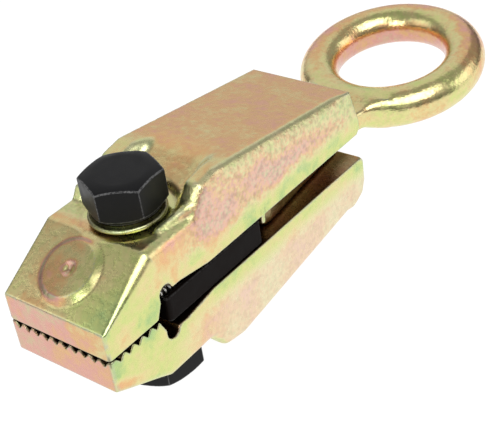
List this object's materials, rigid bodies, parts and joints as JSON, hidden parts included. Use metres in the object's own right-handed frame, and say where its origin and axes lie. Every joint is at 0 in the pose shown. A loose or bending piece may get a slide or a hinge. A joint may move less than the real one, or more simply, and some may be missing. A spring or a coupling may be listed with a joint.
{
  "type": "self-tightening pull clamp",
  "caption": "Forged two-jaw pull clamp: serrated front jaws closed by one hex bolt, sliding pull block between them, and a swinging eye at the rear.",
  "frame": {"origin": "bottom centre of the bounding box, under the end of the clamp bolt's thread", "axes": "+Y from the toothed front of the jaws to the eye, +Z along the clamp bolt towards its head, +X across the jaws"},
  "size_m": [0.0744, 0.2286, 0.0787],
  "materials": {
    "yellow_zinc": "forged steel, yellow-chromated zinc plating with pink and green iridescence",
    "yellow_zinc_eye": "smooth forged steel, yellow-chromated zinc plating, glossier and more golden",
    "black_oxide": "satin black oxide with worn grey edges",
    "black_oxide_block": "dark oiled black oxide",
    "spring_steel": "plain bright spring wire"
  },
  "bodies": {
    "lower": {"lower_jaw": "yellow_zinc", "clamp_nut": "black_oxide", "jaw_spring": "spring_steel"},
    "washer": {"bolt_washer": "yellow_zinc"},
    "upper": {"upper_jaw": "yellow_zinc"},
    "bolt": {"clamp_bolt": "black_oxide"},
    "block": {"pull_block": "black_oxide_block", "return_spring_left": "spring_steel", "return_spring_right": "spring_steel"},
    "eye": {"pull_eye": "yellow_zinc_eye"}
  },
  "joints": [
    {"name": "jaw_lift", "type": "slide", "parent": "lower", "child": "washer", "axis": [0, 0, 1], "range_m": [0, 0.01154], "deforming": ["jaw_spring"]},
    {"name": "bolt_turn", "type": "hinge", "parent": "washer", "child": "bolt", "pos_m": [0, -0.07597, 0.0637], "axis": [0, 0, 1], "range_deg": [0, 1800]},
    {"name": "pull_slide", "type": "slide", "parent": "lower", "child": "block", "axis": [0, 1, 0], "range_m": [-0.0025, 0], "stiffness_N_per_m": 1000, "springref_m": 0.005, "deforming": ["return_spring_left", "return_spring_right"]},
    {"name": "jaw_rock", "type": "hinge", "parent": "washer", "child": "upper", "pos_m": [0, -0.07597, 0.0637], "axis": [-1, 0, 0], "range_deg": [0, 1]},
    {"name": "eye_swing", "type": "hinge", "parent": "block", "child": "eye", "pos_m": [0, -0.04867, 0.0392], "axis": [0, 0, 1], "range_deg": [-8, 8]}
  ],
  "couplings": [
    {"joint": "bolt_turn", "follows": "jaw_lift", "rad_per_m": 2721},
    {"joint": "jaw_rock", "follows": "pull_slide", "rad_per_m": -6.96}
  ]
}
